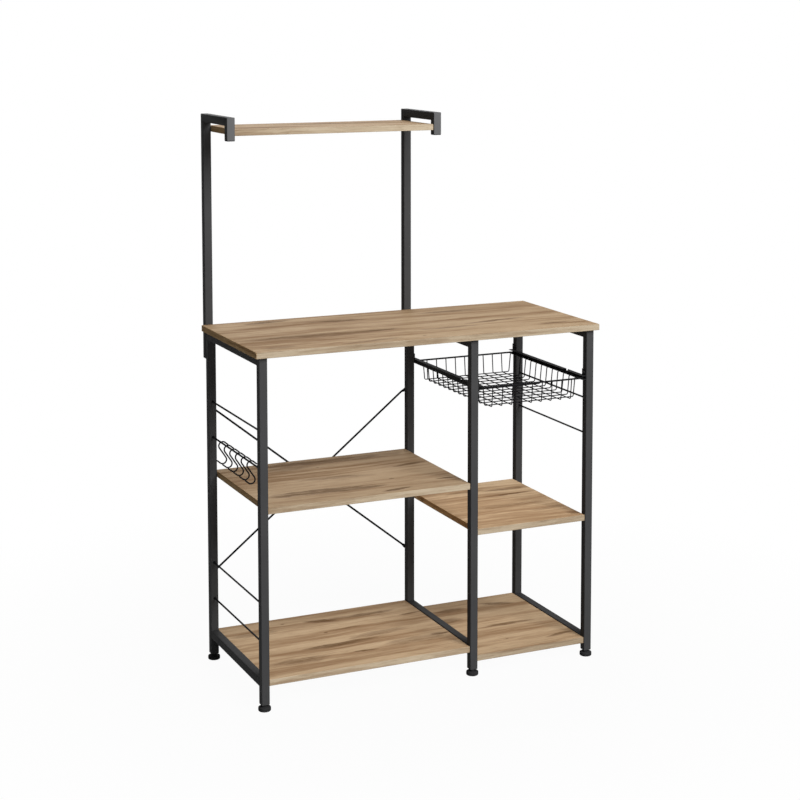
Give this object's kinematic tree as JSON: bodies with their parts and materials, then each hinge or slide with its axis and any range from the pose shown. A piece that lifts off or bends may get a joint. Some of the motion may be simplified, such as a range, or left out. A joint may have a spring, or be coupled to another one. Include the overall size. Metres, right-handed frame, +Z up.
{
  "type": "microwave stand",
  "caption": "Tall kitchen stand with a square-tube steel frame, wooden boards, a raised rear shelf, a sliding wire basket, side hooks and levelling feet.",
  "frame": {"origin": "on the floor, under the middle of the whole footprint, hutch bolts included", "axes": "+X to the right as seen from the front, +Y to the rear, +Z up"},
  "size_m": [0.9, 0.4236, 1.37],
  "materials": {
    "oak_board": "matte oak-look laminate",
    "black_steel": "satin black powder coat",
    "black_wire": "satin black powder coat",
    "black_screw": "black oxide",
    "black_plastic": "matte moulded"
  },
  "bodies": {
    "stand": {"worktop": "oak_board", "mid_shelf_left": "oak_board", "mid_shelf_right": "oak_board", "bottom_shelf_left": "oak_board", "bottom_shelf_right": "oak_board", "top_shelf": "oak_board", "leg_front_left": "black_steel", "leg_rear_left": "black_steel", "leg_front_middle": "black_steel", "leg_rear_middle": "black_steel", "leg_front_right": "black_steel", "leg_rear_right": "black_steel", "top_rail_left": "black_steel", "bottom_rail_left": "black_steel", "top_rail_middle": "black_steel", "bottom_rail_middle": "black_steel", "top_rail_right": "black_steel", "bottom_rail_right": "black_steel", "side_rod_left_upper": "black_wire", "hook_rod": "black_wire", "side_rod_left_third": "black_wire", "side_rod_left_lowest": "black_wire", "side_rod_right_upper": "black_wire", "side_rod_right_lower": "black_wire", "hutch_bracket_left": "black_steel", "hutch_bolt_left_lower": "black_screw", "hutch_bolt_left_upper": "black_screw", "hutch_bracket_middle": "black_steel", "hutch_bolt_middle_lower": "black_screw", "hutch_bolt_middle_upper": "black_screw", "brace_falling": "black_wire", "brace_rising": "black_wire", "brace_screw_left_upper": "black_screw", "brace_screw_left_lower": "black_screw", "brace_screw_middle_upper": "black_screw", "brace_screw_middle_lower": "black_screw", "basket_channel_left": "black_steel", "channel_screw_front_left": "black_screw", "channel_screw_rear_left": "black_screw", "basket_channel_right": "black_steel", "channel_screw_front_right": "black_screw", "channel_screw_rear_right": "black_screw"},
    "basket": {"basket_front": "black_wire", "basket_back": "black_wire", "basket_side_left": "black_wire", "basket_side_right": "black_wire", "basket_floor": "black_wire"},
    "s_hook_1": {"s_hook_1": "black_wire"},
    "s_hook_2": {"s_hook_2": "black_wire"},
    "s_hook_3": {"s_hook_3": "black_wire"},
    "s_hook_4": {"s_hook_4": "black_wire"},
    "s_hook_5": {"s_hook_5": "black_wire"},
    "s_hook_6": {"s_hook_6": "black_wire"},
    "foot_front_left": {"foot_front_left": "black_plastic"},
    "foot_rear_left": {"foot_rear_left": "black_plastic"},
    "foot_front_middle": {"foot_front_middle": "black_plastic"},
    "foot_rear_middle": {"foot_rear_middle": "black_plastic"},
    "foot_front_right": {"foot_front_right": "black_plastic"},
    "foot_rear_right": {"foot_rear_right": "black_plastic"}
  },
  "joints": [
    {"name": "basket_slide", "type": "slide", "parent": "stand", "child": "basket", "axis": [0, -1, 0], "range_m": [0, 0.26]},
    {"name": "s_hook_1_swing", "type": "hinge", "parent": "stand", "child": "s_hook_1", "pos_m": [-0.43, 0.0949, 0.569], "axis": [0, 1, 0], "range_deg": [-75, 75]},
    {"name": "s_hook_2_swing", "type": "hinge", "parent": "stand", "child": "s_hook_2", "pos_m": [-0.43, 0.0536, 0.569], "axis": [0, 1, 0], "range_deg": [-75, 75]},
    {"name": "s_hook_3_swing", "type": "hinge", "parent": "stand", "child": "s_hook_3", "pos_m": [-0.43, 0.0123, 0.569], "axis": [0, 1, 0], "range_deg": [-75, 75]},
    {"name": "s_hook_4_swing", "type": "hinge", "parent": "stand", "child": "s_hook_4", "pos_m": [-0.43, -0.029, 0.569], "axis": [0, 1, 0], "range_deg": [-75, 75]},
    {"name": "s_hook_5_swing", "type": "hinge", "parent": "stand", "child": "s_hook_5", "pos_m": [-0.43, -0.0703, 0.569], "axis": [0, 1, 0], "range_deg": [-75, 75]},
    {"name": "s_hook_6_swing", "type": "hinge", "parent": "stand", "child": "s_hook_6", "pos_m": [-0.43, -0.1116, 0.569], "axis": [0, 1, 0], "range_deg": [-75, 75]},
    {"name": "foot_front_left_level", "type": "slide", "parent": "stand", "child": "foot_front_left", "axis": [0, 0, -1], "range_m": [0, 0.01]},
    {"name": "foot_rear_left_level", "type": "slide", "parent": "stand", "child": "foot_rear_left", "axis": [0, 0, -1], "range_m": [0, 0.01]},
    {"name": "foot_front_middle_level", "type": "slide", "parent": "stand", "child": "foot_front_middle", "axis": [0, 0, -1], "range_m": [0, 0.01]},
    {"name": "foot_rear_middle_level", "type": "slide", "parent": "stand", "child": "foot_rear_middle", "axis": [0, 0, -1], "range_m": [0, 0.01]},
    {"name": "foot_front_right_level", "type": "slide", "parent": "stand", "child": "foot_front_right", "axis": [0, 0, -1], "range_m": [0, 0.01]},
    {"name": "foot_rear_right_level", "type": "slide", "parent": "stand", "child": "foot_rear_right", "axis": [0, 0, -1], "range_m": [0, 0.01]}
  ]
}
